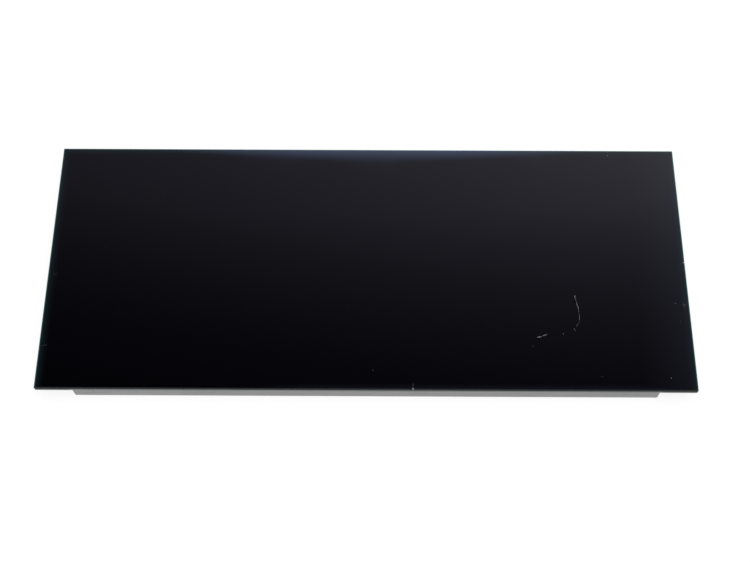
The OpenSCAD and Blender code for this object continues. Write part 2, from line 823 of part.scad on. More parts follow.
// Contacts along the floor of the connector's mouth
module connector_contacts() {
    contact_l = 3;
    contact_w = 0.25;
    contact_t = 0.15;
    span = connector_l - 4;
    y_root = -connector_d + connector_back;
    z_seat = z_board - connector_shell;
    color([0.85, 0.7, 0.3]) for (i = [0 : contact_count - 1])
        translate([-connector_x - span / 2 + i * span / (contact_count - 1), connector_top, 0])
            block([-contact_w / 2, y_root, z_seat - contact_t],
                  [contact_w / 2, y_root + contact_l, z_seat]);
}

module heat_pad() {
    color([0.55, 0.65, 0.75]) block(
        [chip_at.x - chip_w / 2 + 1, chip_at.y - chip_w / 2 + 1, z_cover_in],
        [chip_at.x + chip_w / 2 - 1, chip_at.y + chip_w / 2 - 1, z_board - chip_t]
    );
}

// Rear cover

// A bar with round ends, centred on the origin
module obround(l, r) {
    square([l - 2 * r, 2 * r], center = true);
    for (x = [-1, 1]) translate([x * (l / 2 - r), 0]) circle(r);
}

// Place of each pressed bead and its length: a row of three, and a shorter one above its left end
bead_y = y_board_bottom + 2 * bead_r;
beads = concat(
    [for (i = [-1 : 1]) [i * bead_spacing, bead_y, bead_l]],
    [[-bead_spacing, bead_y + 5 * bead_r, bead_l * 0.7]]
);

module dimple(shell) {
    translate([0, 0, z_cover + (shell > 0 ? 0 : -1)])
        cylinder(r = dimple_r + shell, h = dimple_depth + (shell > 0 ? cover_t : 1));
}

module rear_cover() {
    window_l = connector_l + 8;
    window_y0 = connector_top - connector_d - 2;
    window_y1 = y_board_top + 1.5;
    color([0.78, 0.79, 0.8]) difference() {
        union() {
            block([-bay_half - cover_lap, y_inner_bottom - cover_lap, z_cover],
                  [bay_half + cover_lap, y_bay_top + cover_lap, z_cover_in]);
            for (at = cover_screws_at) translate([at.x, at.y, 0]) dimple(cover_t);
            for (b = beads) translate([b.x, b.y, z_cover - bead_rise])
                linear_extrude(cover_t) obround(b.z, bead_r);
        }
        for (b = beads) translate([b.x, b.y, z_cover_in - bead_rise])
            linear_extrude(1) obround(b.z - 2 * cover_t, bead_r - cover_t);
        for (at = cover_screws_at) translate([at.x, at.y, 0]) {
            dimple(0);
            cylinder(r = shank_r + 3 * hole_gap, h = z_board);
        }
        translate([-connector_x, (window_y0 + window_y1) / 2, -1])
            linear_extrude(z_board) rounded(window_l, window_y1 - window_y0, 1);
    }
}

// Screws with a cross recess, sitting in the dimples
module cover_screws() {
    cross_l = 2 * head_r * 0.6;
    cross_w = 0.5;
    cross_depth = 0.35;
    z_seat = z_cover + dimple_depth;
    color([0.5, 0.5, 0.52]) for (at = cover_screws_at)
        translate([at.x, at.y, z_seat]) difference() {
            union() {
                translate([0, 0, -head_t]) cylinder(r = head_r, h = head_t);
                cylinder(r = shank_r, h = shank_l);
            }
            for (a = [0, 90])
                rotate(a) translate([0, 0, -head_t])
                    cube([cross_l, cross_w, 2 * cross_depth], center = true);
        }
}

cover_glass();
black_border();
bonding_layer();
front_polarizer();
colour_filter_glass();
array_glass();
driver_chips();
rear_polarizer();
cell_tape();
upper_prism_film();
lower_prism_film();
diffuser_film();
light_guide();
reflector_film();
led_flex();
leds();
middle_frame();
back_housing();
glass_tape();
panel_flex_left();
panel_flex_right();
driver_board();
board_pads();
timing_chip();
memory_chip();
led_driver_chip();
power_coils();
capacitors();
signal_connector();
connector_contacts();
heat_pad();
rear_cover();
cover_screws();
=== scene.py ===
"""Dresses the LCD panel: finishes for every piece, a ground and chipped cover glass, the marks on
its face, and a plain white studio seen from the photograph's angle."""
import math
import random

import bmesh
import bpy
from mathutils import Euler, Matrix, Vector

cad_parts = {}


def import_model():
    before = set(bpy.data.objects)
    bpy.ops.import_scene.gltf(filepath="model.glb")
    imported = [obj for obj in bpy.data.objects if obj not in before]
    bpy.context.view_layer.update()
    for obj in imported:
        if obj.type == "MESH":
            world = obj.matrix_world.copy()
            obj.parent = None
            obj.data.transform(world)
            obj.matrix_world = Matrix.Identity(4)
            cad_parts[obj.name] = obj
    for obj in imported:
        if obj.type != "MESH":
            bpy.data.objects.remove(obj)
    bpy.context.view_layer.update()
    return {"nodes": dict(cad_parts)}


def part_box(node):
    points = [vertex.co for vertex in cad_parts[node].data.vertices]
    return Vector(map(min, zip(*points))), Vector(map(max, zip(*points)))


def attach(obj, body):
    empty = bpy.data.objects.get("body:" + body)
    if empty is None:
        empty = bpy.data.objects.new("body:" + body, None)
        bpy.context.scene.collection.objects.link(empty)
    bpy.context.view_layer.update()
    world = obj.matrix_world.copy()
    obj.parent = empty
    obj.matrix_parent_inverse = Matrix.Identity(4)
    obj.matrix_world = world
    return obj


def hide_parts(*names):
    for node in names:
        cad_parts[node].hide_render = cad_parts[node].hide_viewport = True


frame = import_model()

MM = 0.001
ROOT = "root"

# Camera, as fitted to the photograph's corners
PHOTO_WIDTH_PX = 750
FOCAL_PX = 1240.7
SENSOR_MM = 36.0
CAMERA_AT = Vector((5.36, -291.97, 617.73)) * MM
CAMERA_TURN_DEG = (24.985, 0.088, 0.259)

# Cover glass
GLASS_IOR = 1.52
CHAMFER = 0.3 * MM
SKIN = 0.01 * MM            # the dressed face lies this far under the solid's, so marks fit in
SHOULDER = 0.55 * MM        # a chip can eat into the face this far from the edge
FACE_BORDER = 10.0 * MM     # width of the border of triangles round the face's one large rectangle
CORNER_R = 0.15 * MM        # radius of the upright corners
CORNER_LEAST_R = 0.05 * MM  # and what is left of it on the face
CORNER_RUN = 0.6 * MM       # the edge's own points end this far from a corner, past the shoulder
CORNER_STEPS = 7            # steps round a corner
EDGE_STEP = 12.0 * MM       # spacing of points along the edge where it is whole
CHIP_STEPS = 6              # steps along half of a chip, with one more past its end
CHIP_CLEAR = 1.3            # half lengths from a chip's middle where the wide spacing goes on
EDGE_GLOW = 5.5 * MM        # how far the painted green glow reaches in from the edges
RIM_GLOW = 0.95 * MM        # and how far the painted bright line along the rim does
RIGHT_SHEEN = 30.0 * MM      # how far a painted bluish sheen reaches in from the right edge
FRONT_SHEEN = 3.0 * MM       # and from the front edge
EDGE_SPLIT = (0.56, 0.36)   # shares of the edge's height above which it is dark and below which it has painted light
PAST_WALL = 2.0 * MM        # over this length past the housing's wall the painted light on the edge's lower half dims

# Housing
RIM_BAND = 3.5 * MM         # height over which painted light makes the wall lighter above its rear rim

# Striped pieces
STRIPE_SHARE = 0.5          # share of the pitch that the lighter stripe takes
STRIPE_BLUR = 0.06          # half width of its edge, as a share of the pitch

# Marks on the glass
MARKS_SEED = 7
MARK_STEP = 0.3 * MM        # spacing of the points along a scratch
BREAK_ODDS = 0.14           # odds that a scratch breaks off at a point
STRAY_ODDS = 0.22           # odds of a crumb beside a point
SCRATCH_WOBBLE = 0.08 * MM  # how far to either side the scratch strays from its points
STREAK_WOBBLE = 0.05 * MM   # and a short mark does
SPECK_POINTS = 9

# The room that gloss sees, by the direction looked in. A pair says where a change begins and ends.
CEILING_TOWARD = (0.154, 0.984, -0.092)     # the ceiling brightens this way
CEILING_FULL = 0.4545                       # and is full where the direction's share of it is this
CEILING_GROWTH = 15.0                       # by a factor of e for each 1/15 of that share
CEILING_DARK = (0.87, 0.83, 1.18)           # tint where it is dark
CEILING_LIGHT = (0.97, 0.96, 1.10)          # and where it is full
HIGH_BACK = (0.47, 0.505)                   # Y over which the ceiling dims again towards the back
HIGH_BACK_LIGHT = 0.75
WALLS_END = (0.62, 0.80)                    # Z over which the white walls give way to the ceiling
CAMERA_SIDE = (-0.8, 0.0)                   # Y over which they brighten from the camera's side
CAMERA_SIDE_LIGHT = 0.4
SKYLIGHT_NEAR = (0.5074, 0.5149)            # Y of the skylight's soft front rim
SKYLIGHT_FAR = (0.536, 0.556)               # and of its soft back rim
SKYLIGHT_ENDS = (0.20, 0.30)                # X of its soft ends, to either side
SKYLIGHT_TINT = (0.36, 0.55, 1.0)
SKYLIGHT_LIGHT = 1.9
HORIZON = (-0.05, 0.0)                      # Z over which the light on matt surfaces sets in
SOFT_LIGHT = 0.5

# The sweep that the panel lies on
FLOOR_REACH = 4.0
FLOOR_DROP = 0.05 * MM      # it lies this far under the panel
FLOOR_CLEARS = (0.35, 1.0)  # over this distance from the panel it clears to plain white
FLOOR_GLOW_NEAR = 0.85      # its share of plain white nearer to the panel

# Lamps over the panel and under it: place in metres and power in watts
LAMP_SIZE = 1.4
KEY_LAMP = ((0.1, -0.1, 1.3), 18.0)
UNDER_LAMP = ((0.1, -0.1, -1.3), 12.0)

# Chips in the arris: edge, place along the edge, half length and depth in millimetres
CHIPS = [
    ("right", 1.8, 0.45, 0.22),
    ("bottom", 24.3, 0.35, 0.22),
]

# The long scratch, from its head to its tail: place on the glass and width, in millimetres
SCRATCH = [
    (111.11, -18.29, 0.08), (111.31, -19.66, 0.16), (111.56, -20.71, 0.11), (111.99, -22.29, 0.11),
    (112.21, -23.87, 0.16), (112.29, -24.33, 0.19), (112.70, -25.49, 0.14), (112.68, -26.65, 0.09),
    (112.74, -28.10, 0.05), (112.89, -29.84, 0.05), (112.92, -30.45, 0.14), (112.92, -30.99, 0.15),
    (112.85, -32.15, 0.12), (112.67, -33.30, 0.09), (112.19, -34.17, 0.08), (111.84, -34.74, 0.08),
    (111.37, -35.32, 0.09), (111.16, -36.18, 0.07), (110.73, -36.82, 0.04),
]
# Short marks in clear view: two ends and a width
DASHES = [
    ((92.87, -41.66), (95.17, -40.96), 0.30),
    ((89.98, -42.53), (92.27, -42.11), 0.34),
    ((109.64, -37.32), (110.14, -38.02), 0.12),
    ((110.34, -38.42), (110.04, -39.11), 0.10),
]
# Hairlines that only just show: two ends and a width
HAIRLINES = [
    ((-171.33, -48.81), (-167.43, -47.82), 0.12),
    ((24.29, -68.64), (24.26, -71.03), 0.20),
    ((94.93, -40.26), (96.26, -40.14), 0.13),
    ((121.65, -64.29), (123.45, -64.28), 0.08),
    ((-152.27, -66.86), (-150.67, -66.85), 0.04),
    ((166.23, -30.90), (166.23, -34.50), 0.09),
]
# Pits in clear view, and dust that only just shows: place and diameter
PITS = [
    (111.16, -18.50, 0.50), (111.43, -18.84, 0.46), (111.17, -19.39, 0.36), (111.47, -19.84, 0.22),
    (111.11, -19.99, 0.18), (103.75, -40.45, 0.42), (158.44, -64.99, 0.50), (135.19, 68.62, 0.54),
    # the pit at 171.12, 1.60 by the right chip is partly chipped glass and partly a painted
    # highlight on the chip
    (171.12, 1.60, 0.66), (164.65, -22.61, 0.37), (169.00, -22.96, 0.30), (169.60, -23.36, 0.33),
    (169.21, -23.95, 0.33), (168.51, -23.76, 0.25), (169.71, -24.55, 0.24), (168.90, -22.16, 0.20),
]
DUST = [
    (87.46, -47.46, 0.50), (92.21, -39.83, 0.30), (3.44, -61.33, 0.42), (-170.10, -43.29, 0.26),
    (-168.59, -6.32, 0.34), (-167.79, -7.01, 0.38), (-167.19, -6.22, 0.30), (-168.19, -7.81, 0.34),
    (-167.09, -7.51, 0.28), (-168.99, -7.11, 0.26),
]


# Node helpers

def new_material(name):
    material = bpy.data.materials.new(name)
    material.use_nodes = True
    tree = material.node_tree
    return material, tree, tree.nodes["Principled BSDF"]


def node(tree, kind, **settings):
    made = tree.nodes.new(kind)
    for key, value in settings.items():
        setattr(made, key, value)
    return made


def link(tree, source, target):
    tree.links.new(source, target)


def math_node(tree, operation, first, second=None):
    """A Math node whose inputs are sockets or numbers. Returns its output."""
    made = node(tree, "ShaderNodeMath", operation=operation)
    for index, value in enumerate((first, second)):
        if value is None:
            continue
        if isinstance(value, (int, float)):
            made.inputs[index].default_value = value
        else:
            link(tree, value, made.inputs[index])
    return made.outputs[0]


def object_coordinates(tree, scale=(1, 1, 1)):
    coordinates = node(tree, "ShaderNodeTexCoord")
    mapping = node(tree, "ShaderNodeMapping")
    mapping.inputs["Scale"].default_value = scale
    link(tree, coordinates.outputs["Object"], mapping.inputs["Vector"])
    return mapping.outputs["Vector"]


def axes(tree, vector):
    """The outputs X, Y and Z of a vector."""
    made = node(tree, "ShaderNodeSeparateXYZ")
    link(tree, vector, made.inputs["Vector"])
    return made.outputs


def noise(tree, vector, size, detail=3.0, roughness=0.5):
    """Noise whose features are about size metres across."""
    made = node(tree, "ShaderNodeTexNoise")
    made.inputs["Scale"].default_value = 1.0 / size
    made.inputs["Detail"].default_value = detail
    made.inputs["Roughness"].default_value = roughness
    link(tree, vector, made.inputs["Vector"])
    return made.outputs["Fac"]


def cells(tree, vector, size, randomness=1.0):
    """Voronoi cells about size metres across. Returns the outputs Distance, Color and so on."""
    made = node(tree, "ShaderNodeTexVoronoi")
    made.inputs["Scale"].default_value = 1.0 / size
    made.inputs["Randomness"].default_value = randomness
    link(tree, vector, made.inputs["Vector"])
    return made.outputs


def remap(tree, value, low, high, out_low, out_high):
    """Maps low to high onto out_low to out_high, and holds the ends beyond them."""
    made = node(tree, "ShaderNodeMapRange")
    made.inputs["From Min"].default_value = low
    made.inputs["From Max"].default_value = high
    made.inputs["To Min"].default_value = out_low
    made.inputs["To Max"].default_value = out_high
    link(tree, value, made.inputs["Value"])
    return made.outputs["Result"]


def blend_colours(tree, factor, first, second):
    """Goes from the first to the second of two colours or sockets as the factor goes to 1."""
    made = node(tree, "ShaderNodeMix", data_type="RGBA")
    link(tree, factor, made.inputs["Factor"])
    for socket, value in ((made.inputs["A"], first), (made.inputs["B"], second)):
        if isinstance(value, tuple):
            socket.default_value = (*value, 1.0)
        else:
            link(tree, value, socket)
    return made.outputs["Result"]


def scaled(tree, vector, factor):
    """A vector, a colour or a socket times a factor."""
    made = node(tree, "ShaderNodeVectorMath", operation="SCALE")
    if isinstance(vector, tuple):
        made.inputs[0].default_value = vector
    else:
        link(tree, vector, made.inputs[0])
    link(tree, factor, made.inputs["Scale"])
    return made.outputs["Vector"]


def either(tree, *rays):
    """1 for a ray of any of these kinds, in Light Path's names, and else 0."""
    path = node(tree, "ShaderNodeLightPath")
    found = path.outputs[rays[0]]
    for ray in rays[1:]:
        found = math_node(tree, "MAXIMUM", found, path.outputs[ray])
    return found


def mix_shaders(tree, factor, first, second):
    """Goes from the first to the second shader as the factor goes to 1."""
    made = node(tree, "ShaderNodeMixShader")
    for index, source in enumerate((factor, first, second)):
        link(tree, source, made.inputs[index])
    return made.outputs[0]


def bump(tree, shader, height, distance):
    made = node(tree, "ShaderNodeBump")
    made.inputs["Strength"].default_value = 1.0
    made.inputs["Distance"].default_value = distance
    link(tree, height, made.inputs["Height"])
    link(tree, made.outputs["Normal"], shader.inputs["Normal"])


def finish(name, light, dark, rough, metallic=0.0, patch=6 * MM, grain=0.3 * MM, relief=0.01 * MM,
           specular=0.5):
    """A surface of two close tones in patches, with a fine grain in its roughness and relief."""
    material, tree, shader = new_material(name)
    vector = object_coordinates(tree)
    patches = remap(tree, noise(tree, vector, patch, 4.0), 0.3, 0.7, 0.0, 1.0)
    link(tree, blend_colours(tree, patches, dark, light), shader.inputs["Base Color"])
    fine = noise(tree, vector, grain, 2.0, 0.6)
    link(tree, remap(tree, fine, 0.2, 0.8, rough[0], rough[1]), shader.inputs["Roughness"])
    shader.inputs["Metallic"].default_value = metallic
    shader.inputs["Specular IOR Level"].default_value = specular
    if relief:
        bump(tree, shader, fine, relief)
    return material


# Materials of the glass stack

def backed_glass():
    """Polished glass with black behind it: what it shows is its gloss. Faint wipe marks show only
    in its roughness. Light is painted into its colour: a painted green glow in from the ground
    edges, a painted bright cyan line along the rim, and a painted thin bluish sheen along the right
    and front edges."""
    material, tree, shader = new_material("backed_glass")
    vector = object_coordinates(tree)
    wipes = noise(tree, object_coordinates(tree, (1, 0.35, 1)), 30 * MM, 5.0, 0.55)
    link(tree, remap(tree, wipes, 0.35, 0.75, 0.01, 0.04), shader.inputs["Roughness"])
    depth = noise(tree, vector, 2 * MM, 2.0)
    black = blend_colours(tree, depth, (0.0001, 0.0001, 0.0004), (0.0003, 0.0003, 0.0008))
    low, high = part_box("cover_glass")
    at = axes(tree, vector)
    from_side = math_node(tree, "SUBTRACT", high.x, math_node(tree, "ABSOLUTE", at["X"]))
    from_top = math_node(tree, "SUBTRACT", high.y, at["Y"])
    from_edge = math_node(tree, "MINIMUM", from_side, from_top)
    to_right = remap(tree, at["X"], high.x - RIGHT_SHEEN, high.x, 0.0, 1.0)
    right_sheen = math_node(tree, "POWER", to_right, 1.5)
    # the painted sheen on the front edge fades out left of the middle
    to_front = remap(tree, at["Y"], low.y, low.y + FRONT_SHEEN, 0.7, 0.0)
    from_left = remap(tree, at["X"], -0.35 * high.x, -0.15 * high.x, 0.0, 1.0)
    front_sheen = math_node(tree, "MULTIPLY", to_front, from_left)
    # painted light: a bluish sheen along the right and front edges
    haze = math_node(tree, "MAXIMUM", right_sheen, front_sheen)
    tone = blend_colours(tree, haze, black, (0.0042, 0.0048, 0.0075))
    # painted green glow, as light coming in through the ground edges
    painted_edge_glow = math_node(tree, "POWER", remap(tree, from_edge, 0.0, EDGE_GLOW, 1.0, 0.0), 2.0)
    tone = blend_colours(tree, painted_edge_glow, tone, (0.006, 0.012, 0.013))
    # painted bright line of light along the rim
    rim = remap(tree, from_edge, CHAMFER, RIM_GLOW, 1.0, 0.0)
    tone = blend_colours(tree, rim, tone, (0.022, 0.042, 0.042))
    # painted cyan light on the bevel at the top of the edge
    bevel_glow = remap(tree, from_edge, 0.6 * CHAMFER, 1.4 * CHAMFER, 1.0, 0.0)
    link(tree, blend_colours(tree, bevel_glow, tone, (0.020, 0.165, 0.160)), shader.inputs["Base Color"])
    shader.inputs["IOR"].default_value = GLASS_IOR
    return material


def ground_glass():
    """The wheel-ground edge: fine lines along the edge and a satin surface. The face is dark in its
    upper half, and its lower half has painted light from the housing's wall, less of it past the
    wall."""
    material, tree, shader = new_material("ground_glass")
    lines = noise(tree, object_coordinates(tree, (0.15, 0.15, 1)), 0.12 * MM, 3.0, 0.6)
    link(tree, remap(tree, lines, 0.2, 0.8, 0.35, 0.55), shader.inputs["Roughness"])
    low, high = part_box("cover_glass")
    at = axes(tree, object_coordinates(tree))
    height = remap(tree, at["Z"], low.z, high.z, 0.0, 1.0)
    uneven = math_node(tree, "ADD", height, remap(tree, lines, 0.3, 0.7, -0.06, 0.06))
    painted_lower_light = remap(tree, uneven, *EDGE_SPLIT, 0.0, 1.0)
    wall_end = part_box("back_housing")[1].x
    from_middle = math_node(tree, "ABSOLUTE", at["X"])
    painted_wall_light = remap(tree, from_middle, wall_end, wall_end + PAST_WALL, 1.0, 0.5)
    # painted light: the edge's lower half is lighter, as if lit by the housing's wall
    lit = math_node(tree, "MULTIPLY", painted_lower_light, painted_wall_light)
    dark = blend_colours(tree, lines, (0.003, 0.006, 0.006), (0.006, 0.010, 0.010))
    # the tone of the painted light on the lower half
    light = blend_colours(tree, lines, (0.15, 0.16, 0.16), (0.21, 0.22, 0.22))
    link(tree, blend_colours(tree, lit, dark, light), shader.inputs["Base Color"])
    shader.inputs["IOR"].default_value = GLASS_IOR
    shader.inputs["Specular IOR Level"].default_value = 0.04
    bump(tree, shader, lines, 0.004 * MM)
    return material


def fracture(name, dark, light):
    """Fresh fracture in a chip or a scratch, crumbly and unevenly light."""
    material, tree, shader = new_material(name)
    crumbs = noise(tree, object_coordinates(tree), 0.15 * MM, 4.0, 0.7)
    link(tree, blend_colours(tree, remap(tree, crumbs, 0.3, 0.7, 0, 1), dark, light),
         shader.inputs["Base Color"])
    shader.inputs["Roughness"].default_value = 0.45
    shader.inputs["Specular IOR Level"].default_value = 0.1
    bump(tree, shader, crumbs, 0.03 * MM)
    return material


def black_print():
    """Fired black enamel, satin where it shows behind the glass."""
    return finish("black_print", (0.006, 0.006, 0.007), (0.003, 0.003, 0.004), (0.38, 0.55),
                  patch=2 * MM, grain=0.15 * MM, relief=0.004 * MM, specular=0.4)


def dark_polarizer():
    return finish("dark_polarizer", (0.0008, 0.0008, 0.0014), (0.0004, 0.0004, 0.0008), (0.7, 0.9),
                  patch=40 * MM, relief=0, specular=0.0)


def clear_adhesive():
    """Index-matched adhesive, all but invisible between the glass and the polarizer."""
    material, tree, shader = new_material("clear_adhesive")
    vector = object_coordinates(tree)
    haze = noise(tree, vector, 25 * MM)
    link(tree, remap(tree, haze, 0.3, 0.7, 0.0, 0.01), shader.inputs["Alpha"])
    shader.inputs["Base Color"].default_value = (0.9, 0.93, 0.95, 1)
    shader.inputs["Specular IOR Level"].default_value = 0.0
    return material


# Materials with a pattern of their own

def striped(name, across, light, dark, pitch, rough=0.35, coat=0.0):
    """Parallel tracks or prisms of one pitch, which follow each other along the axis across."""
    material, tree, shader = new_material(name)
    vector = object_coordinates(tree)
    place = math_node(tree, "DIVIDE", axes(tree, vector)[across], pitch)
    phase = math_node(tree, "FRACT", place)
    stripe = remap(tree, phase, STRIPE_SHARE - STRIPE_BLUR, STRIPE_SHARE + STRIPE_BLUR, 1.0, 0.0)
    fade = noise(tree, vector, 5 * MM, 3.0)
    uneven = math_node(tree, "MULTIPLY", stripe, remap(tree, fade, 0.2, 0.8, 0.75, 1.0))
    link(tree, blend_colours(tree, uneven, dark, light), shader.inputs["Base Color"])
    shader.inputs["Roughness"].default_value = rough
    shader.inputs["Coat Weight"].default_value = coat
    bump(tree, shader, stripe, 0.02 * MM)
    return material


def dotted_guide():
    """Clear acrylic with the print of fine dots that lets the light out."""
    material, tree, shader = new_material("dotted_guide")
    dots = cells(tree, object_coordinates(tree), 1.2 * MM, randomness=0.0)
    print_mask = remap(tree, dots["Distance"], 0.2, 0.3, 1.0, 0.0)
    link(tree, blend_colours(tree, print_mask, (0.78, 0.86, 0.88), (0.97, 0.98, 0.98)),
         shader.inputs["Base Color"])
    link(tree, remap(tree, print_mask, 0, 1, 0.08, 0.5), shader.inputs["Roughness"])
    shader.inputs["Transmission Weight"].default_value = 0.6
    shader.inputs["IOR"].default_value = 1.49
    return material


def circuit_board():
    """Solder resist over copper tracks, with via dots."""
    material, tree, shader = new_material("circuit_board")
    vector = object_coordinates(tree)
    copper = node(tree, "ShaderNodeTexBrick")
    for name, value in {
        "Scale": 1.0,
        "Brick Width": 9 * MM,
        "Row Height": 0.8 * MM,
        "Mortar Size": 0.12 * MM,
        "Color1": (1, 1, 1, 1),
        "Color2": (0.8, 0.8, 0.8, 1),
        "Mortar": (0, 0, 0, 1),
    }.items():
        copper.inputs[name].default_value = value
    link(tree, vector, copper.inputs["Vector"])
    resist = blend_colours(tree, copper.outputs["Color"], (0.006, 0.075, 0.03), (0.012, 0.13, 0.05))
    via = remap(tree, cells(tree, vector, 3.1 * MM)["Distance"], 0.10, 0.13, 1.0, 0.0)
    link(tree, blend_colours(tree, via, resist, (0.28, 0.25, 0.09)), shader.inputs["Base Color"])
    shader.inputs["Roughness"].default_value = 0.32
    shader.inputs["Coat Weight"].default_value = 0.3
    bump(tree, shader, copper.outputs["Color"], 0.02 * MM)
    return material


def cast_aluminium():
    """Bead-blasted die casting: mottled, finely pitted and a little darker in its flow lines, with
    painted light making it lighter above its rear rim."""
    material, tree, shader = new_material("cast_aluminium")
    vector = object_coordinates(tree)
    streaks = noise(tree, object_coordinates(tree, (0.25, 1, 1)), 9 * MM, 5.0, 0.6)
    flow = remap(tree, streaks, 0.3, 0.7, 0.0, 1.0)
    grain = noise(tree, vector, 0.25 * MM, 3.0, 0.65)
    tone = blend_colours(tree, flow, (0.218, 0.220, 0.224), (0.270, 0.272, 0.270))
    # painted light: the wall is lighter above its rear rim, near the floor
    painted_rim_light = remap(tree, axes(tree, vector)["Z"], 0.0, RIM_BAND, 0.8, 0.0)
    tone = blend_colours(tree, painted_rim_light, tone, (0.36, 0.36, 0.355))
    speckle = remap(tree, grain, 0.25, 0.75, 0.0, 0.35)
    link(tree, blend_colours(tree, speckle, tone, (0.38, 0.38, 0.37)), shader.inputs["Base Color"])
    link(tree, remap(tree, grain, 0.2, 0.8, 0.42, 0.68), shader.inputs["Roughness"])
    shader.inputs["Metallic"].default_value = 0.55
    bump(tree, shader, grain, 0.02 * MM)
    return material


def rolled_sheet():
    """Zinc-coated steel sheet with fine rolling lines and faint spangle."""
    material, tree, shader = new_material("rolled_sheet")
    lines = noise(tree, object_coordinates(tree, (0.02, 1, 1)), 0.15 * MM, 4.0, 0.7)
    spangle = node(tree, "ShaderNodeSeparateColor")
    link(tree, cells(tree, object_coordinates(tree), 5 * MM)["Color"], spangle.inputs["Color"])
    tone = blend_colours(tree, spangle.outputs[0], (0.51, 0.52, 0.53), (0.56, 0.57, 0.58))
    tone = blend_colours(tree, remap(tree, lines, 0.3, 0.7, 0, 0.3), tone, (0.68, 0.69, 0.70))
    link(tree, tone, shader.inputs["Base Color"])
    link(tree, remap(tree, lines, 0.2, 0.8, 0.26, 0.46), shader.inputs["Roughness"])
    shader.inputs["Metallic"].default_value = 0.9
    bump(tree, shader, lines, 0.006 * MM)
    return material


def node_materials():
    """One finish for each CAD node."""
    white_film = dict(patch=30 * MM, grain=0.2 * MM, relief=0.003 * MM)
    chip = finish("moulded_package", (0.030, 0.030, 0.033), (0.018, 0.018, 0.020), (0.42, 0.6),
                  patch=3 * MM, grain=0.12 * MM)
    amber = striped("amber_circuit", "X", (0.50, 0.23, 0.045), (0.24, 0.10, 0.018), 0.5 * MM,
                    coat=0.4)
    foam = finish("foam_tape", (0.022, 0.022, 0.023), (0.012, 0.012, 0.012), (0.8, 1.0),
                  patch=2 * MM, grain=0.2 * MM, relief=0.04 * MM)
    return {
        "black_border": black_print(),
        "bonding_layer": clear_adhesive(),
        "front_polarizer": dark_polarizer(),
        "colour_filter_glass": striped("colour_filter", "X", (0.03, 0.035, 0.045),
                                       (0.014, 0.016, 0.02), 0.152 * MM, rough=0.08, coat=0.5),
        "array_glass": striped("array_lines", "X", (0.16, 0.19, 0.2), (0.09, 0.11, 0.12),
                               0.3 * MM, rough=0.08, coat=0.5),
        "driver_chips": finish("bare_silicon", (0.09, 0.09, 0.11), (0.05, 0.05, 0.065), (0.1, 0.2),
                               metallic=0.4, grain=0.1 * MM, relief=0.002 * MM),
        "rear_polarizer": finish("rear_polarizer_film", (0.10, 0.10, 0.11), (0.08, 0.08, 0.09),
                                 (0.2, 0.3), patch=30 * MM, relief=0.002 * MM),
        "cell_tape": foam,
        "glass_tape": foam,
        "upper_prism_film": striped("upper_prisms", "X", (0.78, 0.81, 0.85), (0.62, 0.65, 0.70),
                                    0.05 * MM),
        "lower_prism_film": striped("lower_prisms", "Y", (0.75, 0.79, 0.84), (0.60, 0.64, 0.69),
                                    0.05 * MM),
        "diffuser_film": finish("diffuser_white", (0.86, 0.86, 0.86), (0.80, 0.80, 0.81),
                                (0.6, 0.8), **white_film),
        "light_guide": dotted_guide(),
        "reflector_film": finish("reflector_white", (0.88, 0.89, 0.90), (0.82, 0.83, 0.85),
                                 (0.25, 0.4), **white_film),
        "led_flex": amber,
        "panel_flex_left": amber,
        "panel_flex_right": amber,
        "leds": finish("diode_body", (0.82, 0.75, 0.38), (0.72, 0.66, 0.4), (0.3, 0.5),
                       patch=1 * MM),
        "middle_frame": finish("moulded_white", (0.80, 0.80, 0.78), (0.74, 0.74, 0.72),
                               (0.45, 0.65), patch=15 * MM, grain=0.2 * MM, relief=0.006 * MM),
        "back_housing": cast_aluminium(),
        "driver_board": circuit_board(),
        "board_pads": finish("adhesive_pad", (0.48, 0.50, 0.53), (0.40, 0.42, 0.45), (0.7, 0.9)),
        "timing_chip": chip,
        "memory_chip": chip,
        "led_driver_chip": chip,
        "power_coils": finish("ferrite", (0.085, 0.085, 0.09), (0.05, 0.05, 0.055), (0.5, 0.75),
                              patch=2 * MM, grain=0.15 * MM, relief=0.02 * MM),
        "capacitors": finish("tan_ceramic", (0.38, 0.25, 0.14), (0.28, 0.18, 0.10), (0.35, 0.55),
                             patch=1 * MM, grain=0.1 * MM),
        "signal_connector": finish("ivory_plastic", (0.66, 0.62, 0.50), (0.60, 0.56, 0.44),
                                   (0.38, 0.55), patch=4 * MM, grain=0.15 * MM, relief=0.004 * MM),
        "connector_contacts": finish("gold_plate", (0.83, 0.60, 0.22), (0.70, 0.48, 0.16),
                                     (0.18, 0.3), metallic=1.0, patch=1 * MM, relief=0),
        "heat_pad": finish("thermal_pad", (0.20, 0.32, 0.50), (0.16, 0.27, 0.44), (0.75, 0.95),
                           patch=3 * MM, grain=0.3 * MM, relief=0.03 * MM),
        "rear_cover": rolled_sheet(),
        "cover_screws": finish("zinc_screw", (0.50, 0.50, 0.52), (0.38, 0.38, 0.40), (0.28, 0.42),
                               metallic=1.0, patch=1 * MM, grain=0.1 * MM, relief=0.004 * MM),
    }


def dress_nodes():
    for name, material in node_materials().items():
        mesh = frame["nodes"][name].data
        mesh.materials.clear()
        mesh.materials.append(material)


# Mesh helpers

def rectangle(half_x, half_y):
    """Its corners, anticlockwise."""
    return [(-half_x, -half_y), (half_x, -half_y), (half_x, half_y), (-half_x, half_y)]


def new_object(mesh, name, materials):
    """Turns a bmesh into an object of the scene."""
    data = bpy.data.meshes.new(name)
    mesh.to_mesh(data)
    mesh.free()
    for material in materials:
        data.materials.append(material)
    made = bpy.data.objects.new(name, data)
    bpy.context.scene.collection.objects.link(made)
    return made


